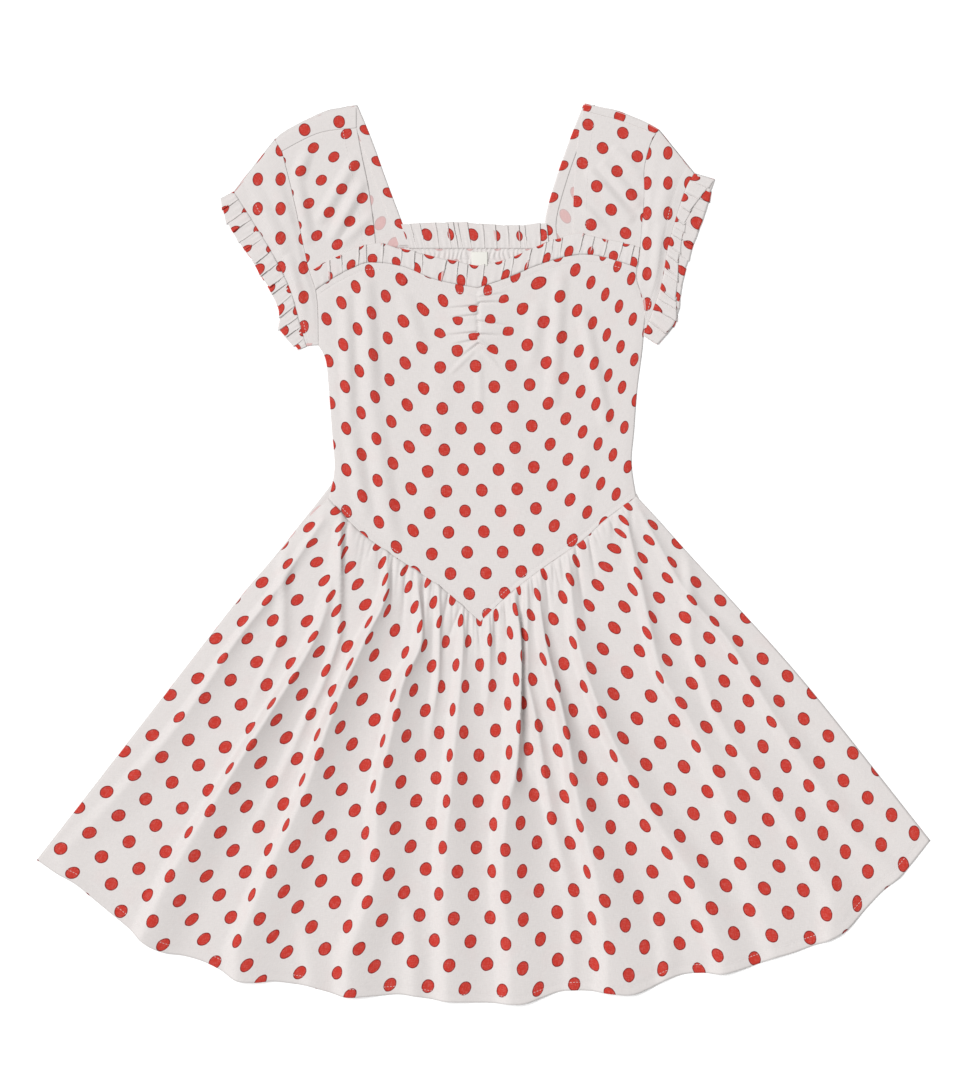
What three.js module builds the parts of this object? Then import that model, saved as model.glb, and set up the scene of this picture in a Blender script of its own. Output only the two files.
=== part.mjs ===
import * as THREE from 'three';

// A mini dress laid flat on a table with its front up, in millimetres.
// +X is the picture's right, +Y points to the shoulders and +Z is up.
// The back panels rest on the table and the front panels lie on them.

const WALL = 1.4;
const GAP = 0.3;
const SEAM = 0.3;                      // each piece stops this far short of a seam line
const UPPER = WALL + GAP;              // underside of the front layer
const TOP = UPPER + WALL + GAP;        // underside of what lies on the front layer
const TURN = 3;                        // how far in from a folded edge the two layers part

const CLOTH_COLOUR = 0xe5dfdc;
const LABEL_COLOUR = 0xf2f0ee;

// Curves and profiles

const mix = THREE.MathUtils.lerp;

const clamp = THREE.MathUtils.clamp;

const wave = turns => 0.5 - 0.5 * Math.cos(2 * Math.PI * turns);

function hump(offset, left, right) {
  const s = offset < 0 ? offset / left : offset / right;
  return Math.abs(s) < 1 ? 0.5 + 0.5 * Math.cos(Math.PI * s) : 0;
}

// A smooth edge through a few places, read by the fraction of its length.
function edge(...places) {
  const curve = new THREE.SplineCurve(places.map(([x, y]) => new THREE.Vector2(x, y)));
  const read = f => curve.getPointAt(clamp(f, 0, 1));
  return Object.assign(read, { reach: curve.getLength() });
}

function joined(first, second, split = first.reach / (first.reach + second.reach)) {
  const read = f => (f < split ? first(f / split) : second((f - split) / (1 - split)));
  return Object.assign(read, { reach: first.reach + second.reach });
}

function part(whole, from, to) {
  return Object.assign(f => whole(mix(from, to, f)), { reach: whole.reach * (to - from) });
}

function moved(whole, dx, dy) {
  return Object.assign(f => whole(f).add(new THREE.Vector2(dx, dy)), { reach: whole.reach });
}

// The place on a panel that is stretched between a top and a bottom edge, with sides that curve
// as left and right do; v runs from top to bottom.
function between(top, bottom, left, right) {
  return (u, v) => {
    const across = top(u).multiplyScalar(1 - v).add(bottom(u).multiplyScalar(v));
    const leftPull = left(v).sub(left(0).lerp(left(1), v));
    const rightPull = right(v).sub(right(0).lerp(right(1), v));
    return across.add(leftPull.multiplyScalar(1 - u)).add(rightPull.multiplyScalar(u));
  };
}

// A value that runs straight from row to row of a small table.
function ramp(rows) {
  return x => {
    const k = clamp(rows.findIndex(row => row[0] >= x), 1, rows.length - 1);
    const [x0, y0] = rows[k - 1];
    const [x1, y1] = rows[k];
    return mix(y0, y1, (x - x0) / (x1 - x0));
  };
}

// The fraction at which a rising value is reached, found by halving.
function solve(rising, value) {
  let low = 0;
  let high = 1;
  for (let step = 0; step < 30; step++) {
    const middle = (low + high) / 2;
    if (rising(middle) < value) low = middle;
    else high = middle;
  }
  return (low + high) / 2;
}

const evenly = count => Array.from({ length: count + 1 }, (_, i) => i / count);

// Closed walls of cloth

// Triangles between two rows of numbered points; at holds each point's place along its row.
function strip(index, a, b, atA, atB, flip) {
  let i = 0;
  let j = 0;
  while (i < a.length - 1 || j < b.length - 1) {
    const alongA = j === b.length - 1 || (i < a.length - 1 && atA[i + 1] <= atB[j + 1]);
    const corners = alongA ? [a[i], b[j], a[i + 1]] : [a[i], b[j], b[j + 1]];
    if (flip) corners.reverse();
    index.push(...corners);
    if (alongA) i++;
    else j++;
  }
}

function volume(positions, index) {
  const corner = k => new THREE.Vector3().fromArray(positions, index[k] * 3);
  let sum = 0;
  for (let k = 0; k < index.length; k += 3) sum += corner(k).dot(corner(k + 1).cross(corner(k + 2)));
  return sum / 6;
}

// A wall between an outer and an inner face, closed along its free edges.
// Each face is a list of rows, and a ring joins the end of each row to its start.
function wall(name, outer, inner, ats, { ring = false, colour = CLOTH_COLOUR } = {}) {
  const positions = [];
  const index = [];
  const number = rows => rows.map(row => row.map(p => positions.push(p.x, p.y, p.z) / 3 - 1));
  const round = row => (ring ? [...row, row[0]] : row);
  const out = number(outer).map(round);
  const inn = number(inner).map(round);
  const last = out.length - 1;
  for (let k = 0; k < last; k++) {
    strip(index, out[k], out[k + 1], ats[k], ats[k + 1], false);
    strip(index, inn[k], inn[k + 1], ats[k], ats[k + 1], true);
  }
  strip(index, out[0], inn[0], ats[0], ats[0], true);
  strip(index, out[last], inn[last], ats[last], ats[last], false);
  if (!ring) {
    const down = evenly(last);
    strip(index, out.map(row => row[0]), inn.map(row => row[0]), down, down, false);
    strip(index, out.map(row => row.at(-1)), inn.map(row => row.at(-1)), down, down, true);
  }
  if (volume(positions, index) < 0) index.reverse();
  const geometry = new THREE.BufferGeometry();
  geometry.setAttribute('position', new THREE.Float32BufferAttribute(positions, 3));
  geometry.setIndex(index);
  geometry.computeVertexNormals();
  const material = new THREE.MeshStandardMaterial({ color: colour, roughness: 0.9, metalness: 0 });
  const mesh = new THREE.Mesh(geometry, material);
  mesh.name = name;
  return mesh;
}

// How much taller than its thickness the wall stands where its underside slopes.
function steepness(place, under, u, v) {
  const step = 0.002;
  const point = (a, b) => {
    const p = place(clamp(a, 0, 1), clamp(b, 0, 1));
    return new THREE.Vector3(p.x, p.y, under(clamp(a, 0, 1), clamp(b, 0, 1), p));
  };
  const across = point(u + step, v).sub(point(u - step, v));
  const along = point(u, v + step).sub(point(u, v - step));
  const normal = across.cross(along).normalize();
  return 1 / Math.max(Math.abs(normal.z), 0.5);
}

// A panel that lies on the layer below: place gives where, under gives the underside's height.
function panel(name, place, under, rows, options) {
  const outer = [];
  const inner = [];
  for (const { v, us } of rows) {
    const low = us.map(u => {
      const p = place(u, v);
      return new THREE.Vector3(p.x, p.y, under(u, v, p));
    });
    inner.push(low);
    outer.push(low.map((p, i) => new THREE.Vector3(p.x, p.y, p.z + WALL * steepness(place, under, us[i], v))));
  }
  return wall(name, outer, inner, rows.map(row => row.us), options);
}

const even = (vs, count) => vs.map(v => ({ v, us: evenly(count) }));

// A flattened tube. f runs along its length from the fold at the shoulder to the one under the arm.
function tube(name, front, back, under, vs, count, backCount) {
  const outer = [];
  const inner = [];
  const middle = WALL + GAP / 2;
  const fold = 0.016;
  const fs = [fold, ...evenly(count).slice(1, -1), 1 - fold];
  const backFs = [1 - fold, ...evenly(backCount).slice(1, -1).reverse(), fold];
  for (const v of vs) {
    const flat = (p, z) => new THREE.Vector3(p.x, p.y, z);
    const frontLow = fs.map(f => flat(front(f, v), under(f, v)));
    const frontTop = frontLow.map((p, i) => flat(p, p.z + WALL * steepness(front, under, fs[i], v)));
    outer.push([
      flat(front(0, v), middle), ...frontTop,
      flat(front(1, v), middle), ...backFs.map(f => flat(back(f, v), 0)),
    ]);
    inner.push([
      flat(front(fold * 0.7, v), middle), ...frontLow,
      flat(front(1 - fold * 0.7, v), middle), ...backFs.map(f => flat(back(f, v), WALL)),
    ]);
  }
  const around = evenly(outer[0].length);
  return wall(name, outer, inner, vs.map(() => around), { ring: true });
}

// Seam lines and outlines

const waistLeft = edge([-151, 55], [-130, 32], [-108, 13], [-45, -29], [-21, -49], [-3, -65]);
const waistRight = edge([-3, -65], [22, -41], [52, -17], [96, 14], [118, 34], [149, 57]);
const waist = joined(waistLeft, waistRight, 0.5);

const neckLeft = edge([-164, 259], [-146, 271], [-127, 281], [-110, 286], [-79, 282], [-46, 269], [-6, 261]);
const neckRight = edge([-6, 261], [21, 270], [55, 284], [88, 293], [114, 292], [150, 281]);
const neckline = joined(neckLeft, neckRight, 0.5);

const frillTopLeft = edge([-169, 277], [-138, 294], [-105, 304], [-80, 299], [-46, 291], [-6, 282]);
const frillTopRight = edge([-6, 282], [21, 288], [55, 302], [88, 313], [121, 308], [152, 300]);
const frillTop = joined(frillTopLeft, frillTopRight, 0.5);

// Each armhole in four stretches: yoke, shoulder, beside the frill, and bodice.
const armLeftYoke = edge([-205, 405], [-197, 394.4]);
const armLeftShoulder = edge([-197, 394.4], [-189, 363], [-181, 327], [-175.5, 300]);
const armLeftFrill = edge([-175.5, 300], [-171, 280], [-164, 259]);
const armLeftBodice = edge([-164, 259], [-162, 240], [-161.5, 205]);
const armLeft = joined(joined(joined(armLeftYoke, armLeftShoulder), armLeftFrill), armLeftBodice);

const armRightYoke = edge([172.5, 415], [168.5, 411.5]);
const armRightShoulder = edge([168.5, 411.5], [162, 398], [157, 376], [157, 350], [155, 325], [153, 300]);
const armRightFrill = edge([153, 300], [151.5, 290], [150, 281]);
const armRightBodice = edge([150, 281], [150, 268], [155, 255], [160, 246]);
const armRight = joined(joined(joined(armRightYoke, armRightShoulder), armRightFrill), armRightBodice);

const sideLeft = edge([-161.5, 205], [-154, 190], [-151, 161], [-148, 122], [-145.5, 85], [-151, 55]);
const sideRight = edge([160, 246], [157, 225], [155, 200], [150, 161], [147, 122], [144.5, 90], [149, 57]);

const cuffLeft = edge([-244, 355], [-214, 308], [-199, 281], [-188, 257], [-179, 225], [-173, 204]);
const cuffRight = edge([206, 373], [198, 359], [190, 336], [180, 300], [173, 262], [158, 216]);

const hemLeft = edge([-257, 348], [-248, 321], [-219, 276], [-200, 240], [-198, 218], [-180, 201]);
const hemRightFront = edge([226, 367], [203, 336], [192, 300], [189, 262], [187, 228], [170, 206]);
const hemRightBack = edge([226, 367], [216, 332], [202, 294], [194, 262], [188, 228], [170, 206]);

// Front skirt: fold lines fan out from the pointed waist seam to the hem. seam and hem are the
// places of a crest in x, left and right its half widths at the hem, top, half and low its
// height below the seam, halfway down and at the hem, and drop how far the hem bulges there.
const FOLDS = [
  { seam: -147, hem: -388, left: 34, right: 30, top: 5, half: 5, low: 2, drop: 2 },
  { seam: -133, hem: -318, left: 30, right: 32, top: 5, half: 7, low: 11, drop: 12 },
  { seam: -86, hem: -232, left: 28, right: 34, top: 7, half: 8, low: 12, drop: 13 },
  { seam: -50, hem: -126, left: 28, right: 36, top: 6, half: 9, low: 12, drop: 9 },
  { seam: -21, hem: -30, left: 26, right: 26, top: 4, half: 6, low: 8, drop: 5 },
  { seam: 19, hem: 34, left: 26, right: 38, top: 5, half: 8, low: 12, drop: 11 },
  { seam: 32, hem: 100, left: 30, right: 28, top: 4, half: 5, low: 1, drop: 0 },
  { seam: 51, hem: 143, left: 36, right: 32, top: 5, half: 8, low: 12, drop: 13 },
  { seam: 81, hem: 242, left: 36, right: 28, top: 4, half: 6, low: 9, drop: 10 },
  { seam: 121, hem: 303, left: 34, right: 34, top: 7, half: 5, low: 3, drop: 3 },
  { seam: 143, hem: 358, left: 30, right: 34, top: 2, half: 3, low: 7, drop: 9 },
];
const GATHERS = 36;
const GATHER_HEIGHT = 2.6;
const GATHER_REACH = 0.3;              // how far down the skirt the gathers run
const FOLD_AT_SEAM = 0.4;              // share of a fold's height that it has at the seam
const FOLD_RISE = 4;                   // how fast it gains the rest

const hemBase = edge(
  [-435, -298], [-390, -329], [-343, -362], [-280, -393], [-187, -414], [-93, -427], [0, -432],
  [78, -425], [195, -406], [289, -388], [340, -366], [385, -333], [435, -279],
);
const outerLeft = edge(
  [-147, 71], [-160, 54], [-176, 34], [-207, -5], [-240, -44], [-315, -141], [-436.5, -298],
);
const outerRight = edge(
  [149.5, 60], [152, 54], [171, 34], [206, -5], [242, -44], [320, -132], [436.5, -279],
);
const frontLeft = edge([-151, 54.4], [-173, 33], [-205, -6], [-238, -45], [-313, -142], [-434.5, -298]);
const frontRight = edge([149, 56.4], [169, 34], [204, -6], [240, -45], [318, -133], [434.5, -279]);

function frontHem(f) {
  const p = hemBase(f);
  for (const { hem, left, right, drop } of FOLDS) p.y -= drop * hump(p.x - hem, left, right);
  return p;
}

const seamAt = FOLDS.map(fold => solve(f => waist(f).x, fold.seam));
const hemAt = FOLDS.map(fold => solve(f => hemBase(f).x, fold.hem));
const foldAt = FOLDS.map((_, k) => (seamAt[k] + hemAt[k]) / 2);
const alongSeam = ramp([[0, 0], ...foldAt.map((u, k) => [u, seamAt[k]]), [1, 1]]);
const alongHem = ramp([[0, 0], ...foldAt.map((u, k) => [u, hemAt[k]]), [1, 1]]);

function frontSkirt() {
  const top = u => waist(alongSeam(u)).add(new THREE.Vector2(0, -2 * SEAM));
  const bottom = u => frontHem(alongHem(u));
  const place = between(top, bottom, frontLeft, frontRight);
  const under = (u, v) => {
    const x = hemBase(alongHem(u)).x;
    let height = UPPER;
    for (const fold of FOLDS) {
      const crest = v < 0.5 ? mix(fold.top, fold.half, 2 * v) : mix(fold.half, fold.low, 2 * v - 1);
      height += crest * Math.min(1, FOLD_AT_SEAM + FOLD_RISE * v) * hump(x - fold.hem, fold.left, fold.right);
    }
    const fading = clamp(1 - v / GATHER_REACH, 0, 1);
    return height + GATHER_HEIGHT * fading * fading * wave(GATHERS * alongSeam(u));
  };
  const gathered = evenly(GATHERS * 4).map(s => solve(alongSeam, s));
  gathered[0] = 0;
  gathered[GATHERS * 4] = 1;
  const rows = [0, 0.04, 0.09, 0.16].map(v => ({ v, us: gathered }));
  rows.push(...even([0.26, 0.4, 0.55, 0.7, 0.85, 1], 72));
  return panel('front_skirt', place, under, rows);
}

function backSkirt() {
  const top = edge([-147, 71], [0, 66], [149.5, 60]);
  const bottom = edge(
    [-436.5, -298], [-390, -325], [-343, -357], [-280, -388], [-187, -409], [-93, -422], [0, -427],
    [78, -420], [195, -401], [289, -383], [340, -361], [385, -329], [436.5, -279],
  );
  const place = between(top, bottom, outerLeft, outerRight);
  return panel('back_skirt', place, () => 0, even([0, 0.15, 0.35, 0.6, 0.8, 1], 20));
}

// Front bodice: soft creases run down from the bust, and the centre front is gathered.
const BODICE_CREASES = [
  { x0: -115, y0: 262, x1: -109, y1: 150, reach: 13, height: 4 },
  { x0: -109, y0: 150, x1: -88, y1: 0, reach: 12, height: 3 },
  { x0: -135, y0: 250, x1: -131, y1: 122, reach: 10, height: 3 },
  { x0: -131, y0: 122, x1: -117, y1: 45, reach: 12, height: 3 },
  { x0: -77, y0: 249, x1: -62, y1: 205, reach: 12, height: 2 },
  { x0: 75, y0: 270, x1: 67, y1: 152, reach: 11, height: 3 },
  { x0: 97, y0: 236, x1: 119, y1: 132, reach: 10, height: 3 },
  { x0: 52, y0: 240, x1: 47, y1: 190, reach: 11, height: 2 },
];
const RUCHE = { x: -6, top: 258, low: 206, folds: 5, reach: 34, height: 2 };

// A ridge along a straight line, which dies away towards both ends.
function crease({ x0, y0, x1, y1, reach, height }, p) {
  const start = new THREE.Vector2(x0, y0);
  const run = new THREE.Vector2(x1, y1).sub(start);
  const t = clamp(p.clone().sub(start).dot(run) / run.lengthSq(), 0, 1);
  const distance = p.distanceTo(start.addScaledVector(run, t));
  return height * hump(distance, reach, reach);
}

const creases = (table, p) => Math.max(0, ...table.map(row => crease(row, p)));

function ruche(p) {
  const { x, top, low, folds, reach, height } = RUCHE;
  const t = (top - p.y) / (top - low);
  return t > 0 && t < 1 ? height * wave(folds * t) * hump(p.x - x, reach, reach) : 0;
}

function frontBodice() {
  const left = joined(armLeftBodice, sideLeft);
  const right = joined(armRightBodice, sideRight);
  const place = between(neckline, waist, left, right);
  const under = (u, v, p) => {
    const atSeam = Math.min(1, 12 * v, 12 * (1 - v));
    return UPPER + atSeam * (creases(BODICE_CREASES, p) + ruche(p));
  };
  const gathered = evenly(13).map(t => t * 0.19);
  return panel('front_bodice', place, under, even([...gathered, 0.27, 0.38, 0.5, 0.62, 0.75, 0.88, 1], 34));
}

function backBodice() {
  const top = edge([-175.2, 300], [0, 300], [152.4, 300]);
  const bottom = edge([-147, 71.6], [0, 66.6], [147, 60.6]);
  const left = joined(joined(armLeftFrill, armLeftBodice), sideLeft);
  const right = joined(joined(armRightFrill, armRightBodice), sideRight);
  const place = between(top, bottom, left, right);
  return panel('back_bodice', place, () => 0, even(evenly(20), 12));
}

// Neck frills: waves that grow from the seam to the free edge.
const FRILL_HEIGHT = 4.2;

function frill(name, place, floor, waves) {
  const under = (u, v) => floor + FRILL_HEIGHT * mix(0.25, 1, v) * wave(waves * u);
  return panel(name, place, under, even([0, 0.5, 1], waves * 4));
}

function frontNeckFrill() {
  const root = moved(neckline, 0, 2 * SEAM);
  const end = edge([-163, 260], [-169, 277]);
  const place = between(root, frillTop, end, edge([150, 281.6], [152, 300]));
  return frill('front_neck_frill', place, TOP, 22);
}

function backNeckFrill() {
  const root = edge([-70, 300.6], [0, 300.6], [62, 300.6]);
  const free = edge([-70, 323], [-35, 325], [0, 323.5], [30, 322], [59, 324]);
  const place = between(root, free, edge([-70, 300.6], [-70, 323]), edge([62, 300.6], [59, 324]));
  return frill('back_neck_frill', place, 0, 14);
}

// Shoulder panels: the front ones run from the yoke seam to the neckline, under the frill.
const LEFT_STRAP_CREASES = [
  { x0: -172, y0: 398, x1: -182, y1: 365, reach: 10, height: 3 },
  { x0: -182, y0: 365, x1: -172, y1: 310, reach: 10, height: 3 },
  { x0: -128, y0: 382, x1: -158, y1: 330, reach: 9, height: 3 },
  { x0: -120, y0: 360, x1: -146, y1: 312, reach: 9, height: 4 },
];
const RIGHT_STRAP_CREASES = [
  { x0: 105, y0: 372, x1: 142, y1: 330, reach: 9, height: 3 },
  { x0: 118, y0: 380, x1: 150, y1: 345, reach: 8, height: 2 },
  { x0: 96, y0: 340, x1: 118, y1: 318, reach: 8, height: 2 },
];

function frontStrap(name, yoke, arm, neckEdge, hem, table, mirrored) {
  const place = mirrored ? between(yoke, hem, neckEdge, arm) : between(yoke, hem, arm, neckEdge);
  const under = (u, v, p) => UPPER + creases(table, p) * clamp(6 * (0.78 - v), 0, 1) * Math.min(1, 10 * v);
  return panel(name, place, under, even(evenly(12), 10));
}

const yokeLeft = edge([-197, 394.4], [-161, 412], [-124, 417]);
const yokeRight = edge([97, 434], [131, 425], [168.5, 411.5]);

const strapNeckLeft = edge([-124, 417], [-119, 390], [-112, 356], [-107, 320], [-104, 287]);
const strapNeckRight = edge([97, 434], [91, 395], [88, 350], [88, 320], [89, 294]);

function frontStraps() {
  const leftArm = joined(armLeftShoulder, armLeftFrill);
  const leftEnd = solve(f => neckLeft(f).x, -104);
  const leftHem = moved(part(neckLeft, 0, leftEnd), 0, 2 * SEAM);
  const rightArm = joined(armRightShoulder, armRightFrill);
  const rightStart = solve(f => neckRight(f).x, 89);
  const rightHem = moved(part(neckRight, rightStart, 1), 0, 2 * SEAM);
  const yokes = [moved(yokeLeft, 0, -SEAM), moved(yokeRight, 0, -SEAM)];
  return [
    frontStrap('left_front_strap', yokes[0], leftArm, strapNeckLeft, leftHem, LEFT_STRAP_CREASES, false),
    frontStrap('right_front_strap', yokes[1], rightArm, strapNeckRight, rightHem, RIGHT_STRAP_CREASES, true),
  ];
}

// Back shoulder panels: from the yoke seam on the front, over the fold and down the back.
function backStrap(name, yoke, fold, arm, neckEdge, bottom) {
  const middle = WALL + GAP / 2;
  const us = evenly(8);
  const inward = (u, distance) => {
    const p = fold(u);
    return p.add(arm(0.5).add(neckEdge(0.5)).multiplyScalar(0.5).sub(p).setLength(distance));
  };
  const back = between(u => inward(u, TURN), bottom, arm, neckEdge);
  const line = (place, z) => us.map(u => new THREE.Vector3(place(u).x, place(u).y, z));
  const down = [0, 0.12, 0.25, 0.4, 0.55, 0.7, 0.85, 1];
  const outer = [
    line(yoke, UPPER + WALL), line(u => inward(u, TURN), UPPER + WALL), line(fold, middle),
    ...down.map(v => line(u => back(u, v), 0)),
  ];
  const inner = [
    line(yoke, UPPER), line(u => inward(u, TURN), UPPER), line(u => inward(u, 0.6 * TURN), middle),
    ...down.map(v => line(u => back(u, v), WALL)),
  ];
  return wall(name, outer, inner, outer.map(() => us));
}

const foldLeft = edge([-204, 406], [-195, 413.5], [-176, 424], [-154, 434], [-140, 437], [-124, 440]);
const foldRight = edge([99, 441], [117, 437], [131, 434], [156, 424], [171.5, 415.5]);

function backStraps() {
  const neckLeftEdge = edge([-123.5, 437], [-109, 405], [-95, 366], [-80, 326], [-71, 300.6]);
  const neckRightEdge = edge([98, 438], [84, 405], [70, 365], [60, 326], [63, 300.6]);
  const bottomLeft = edge([-175.5, 300.6], [-120, 300.6], [-71, 300.6]);
  const bottomRight = edge([63, 300.6], [110, 300.6], [153, 300.6]);
  const yokes = [moved(yokeLeft, 0, SEAM), moved(yokeRight, 0, SEAM)];
  const leftArm = joined(armLeftYoke, armLeftShoulder);
  const rightArm = joined(armRightYoke, armRightShoulder);
  return [
    backStrap('left_back_strap', yokes[0], foldLeft, leftArm, neckLeftEdge, bottomLeft),
    backStrap('right_back_strap', yokes[1], foldRight, neckRightEdge, rightArm, bottomRight),
  ];
}

// Sleeves: flattened tubes from the armhole to the frill's seam.
const SLEEVE_PUFF = 4;

// crown is the fraction of the sleeve's length where it stands highest.
function sleeve(name, arm, cuffFront, cuffBack, crown) {
  const front = (f, v) => arm(f).lerp(cuffFront(f), v);
  const back = (f, v) => arm(f).lerp(cuffBack(f), v);
  const under = (f, v) => {
    const puff = SLEEVE_PUFF * Math.sin(Math.PI * clamp(f, 0, 1)) ** 2 * hump(v - crown, crown, 1 - crown);
    return UPPER + puff;
  };
  return tube(name, front, back, under, evenly(6), 14, 14);
}

// Cuff frills: the waves show on the front layer, and the back layer lies flat.
const CUFF_WAVES = 14;
const CUFF_HEIGHT = 4;

function cuffFrill(name, rootFront, rootBack, freeFront, freeBack) {
  const front = (f, v) => rootFront(f).lerp(freeFront(f), v);
  const back = (f, v) => rootBack(f).lerp(freeBack(f), v);
  const ends = f => Math.min(1, 12 * f, 12 * (1 - f));
  const under = (f, v) => UPPER + CUFF_HEIGHT * ends(f) * mix(0.25, 1, v) * wave(CUFF_WAVES * f);
  return tube(name, front, back, under, [0, 0.5, 1], CUFF_WAVES * 4, 14);
}

function sleeves() {
  const outLeft = moved(armLeft, -2 * SEAM, 0);
  const outRight = moved(armRight, 2 * SEAM, 0);
  const bandLeft = moved(cuffLeft, -2 * SEAM, 0);
  const bandRight = moved(cuffRight, 2 * SEAM, 0);
  return [
    sleeve('left_sleeve', outLeft, cuffLeft, cuffLeft, 0.45),
    sleeve('right_sleeve', outRight, cuffRight, cuffRight, 0.5),
    cuffFrill('left_cuff_frill', bandLeft, bandLeft, hemLeft, hemLeft),
    cuffFrill('right_cuff_frill', bandRight, bandRight, hemRightFront, hemRightBack),
  ];
}

// A blank woven label, sewn inside the back neck.
function neckLabel() {
  const size = { left: -12, right: 4, low: 282, high: 296 };
  const top = edge([size.left, size.high], [size.right, size.high]);
  const bottom = edge([size.left, size.low], [size.right, size.low]);
  const left = edge([size.left, size.high], [size.left, size.low]);
  const right = edge([size.right, size.high], [size.right, size.low]);
  const rows = even([0, 1], 1);
  return panel('neck_label', between(top, bottom, left, right), () => UPPER, rows, { colour: LABEL_COLOUR });
}

const dress = new THREE.Group();
dress.add(frontSkirt(), backSkirt(), frontBodice(), backBodice());
dress.add(frontNeckFrill(), backNeckFrill(), ...frontStraps(), ...backStraps());
dress.add(...sleeves(), neckLabel());

export default dress;
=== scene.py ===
import math

import bmesh
import bpy
import numpy as np
from mathutils import Matrix, Vector


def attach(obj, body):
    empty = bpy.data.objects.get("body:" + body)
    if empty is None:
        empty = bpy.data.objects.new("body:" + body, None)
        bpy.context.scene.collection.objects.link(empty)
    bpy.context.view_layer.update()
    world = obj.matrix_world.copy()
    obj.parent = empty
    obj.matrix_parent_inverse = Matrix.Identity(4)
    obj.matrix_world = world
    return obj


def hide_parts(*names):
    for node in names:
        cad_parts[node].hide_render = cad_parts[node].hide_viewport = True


# A cotton mini dress laid flat on its back, front up. Sizes are in millimetres, as in the part's
# source, and become metres where a mesh or a material is made. +X is the picture's right,
# +Y points to the shoulders and +Z is up.
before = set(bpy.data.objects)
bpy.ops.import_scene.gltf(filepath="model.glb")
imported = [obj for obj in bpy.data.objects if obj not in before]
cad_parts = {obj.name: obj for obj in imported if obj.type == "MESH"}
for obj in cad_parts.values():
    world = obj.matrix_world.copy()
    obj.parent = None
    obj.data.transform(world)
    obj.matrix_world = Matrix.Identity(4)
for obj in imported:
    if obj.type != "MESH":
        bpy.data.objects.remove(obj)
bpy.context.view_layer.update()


# The back skirt: one gathered panel of thin plain-woven cotton, printed on one side with rows of
# round dots. It lies flat on the table, wrong side up, sewn to the front skirt along its sides,
# and shows as a rim beside it.

MM = 0.001
WALL = 0.5  # thickness of the cloth
BACK = 0.05  # outer face of the back layer, which lies on the table

GROUND = (0.745, 0.705, 0.69)
DOT = (0.57, 0.036, 0.022)
DOT_RIM = (0.23, 0.008, 0.008)
BLUSH = (0.80, 0.42, 0.40)  # the print of the layer below, seen through the thin cloth
FADED = (0.78, 0.66, 0.65)  # the print, seen on the cloth's wrong side
SKIRT_REPEAT = (37.5, 45.4)  # a dot at each corner of this box and one at its middle
SKIRT_DOT = (12.5, 13.6)  # across and along the grain
DOT_EDGE = (1.015, 0.985)  # from outside a dot's outline to inside it, in dot radii
RIM_EDGE = (0.90, 0.82)  # from its dark rim to its red heart
INK_STRAYS = 0.0006  # metres that the outline wanders
INK_GRAIN = 260.0  # how fine the wandering, the threads and the blush are
THREAD_GRAIN = 170.0
BLUSH_GRAIN = 34.0
SLUB = 9.0  # length of a thread's thick stretch for its width
THREAD_TONES = (0.94, 1.045)  # how dark and how light single threads are
BARE_THREADS = 0.12  # share of the ground that shows between a dot's threads
MOST_BLUSH = 0.055


def add_node(tree, kind, inputs=None, **settings):
    made = tree.nodes.new(kind)
    for key, value in settings.items():
        setattr(made, key, value)
    for key, value in (inputs or {}).items():
        if isinstance(value, bpy.types.NodeSocket):
            tree.links.new(value, made.inputs[key])
        else:
            made.inputs[key].default_value = value
    return made


def vector_math(tree, operation, first, second=(0, 0, 0)):
    made = add_node(tree, "ShaderNodeVectorMath", {0: first, 1: second}, operation=operation)
    return made.outputs["Value" if operation == "LENGTH" else "Vector"]


def noise(tree, place, scale, detail):
    return add_node(tree, "ShaderNodeTexNoise", {"Vector": place, "Scale": scale, "Detail": detail})


def ranged(tree, value, start, end, low=0.0, high=1.0, kind="LINEAR"):
    """Turns a value that runs from start to end into one that runs from low to high."""
    inputs = {"Value": value, "From Min": start, "From Max": end, "To Min": low, "To Max": high}
    return add_node(tree, "ShaderNodeMapRange", inputs, interpolation_type=kind).outputs[0]


def mixed(tree, factor, first, second):
    """Two colours mixed: sockets 6, 7 and 2 are the node's colours."""
    return add_node(tree, "ShaderNodeMix", {0: factor, 6: first, 7: second}, data_type="RGBA").outputs[2]


def dot_distance(tree, place, repeat, dot, shift):
    """How far a point lies from the nearest dot of one of the two interleaved grids, in dot radii."""
    cells = vector_math(tree, "DIVIDE", place, (repeat[0] * MM, repeat[1] * MM, 1))
    shifted = vector_math(tree, "ADD", cells, (shift, shift, 0))
    centred = vector_math(tree, "SUBTRACT", vector_math(tree, "FRACTION", shifted), (0.5, 0.5, 0))
    reach = (2 * repeat[0] / dot[0], 2 * repeat[1] / dot[1], 0)
    return vector_math(tree, "LENGTH", vector_math(tree, "MULTIPLY", centred, reach))


def new_material(name):
    material = bpy.data.materials.new(name)
    material.use_nodes = True
    return material, material.node_tree, material.node_tree.nodes["Principled BSDF"]


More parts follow.
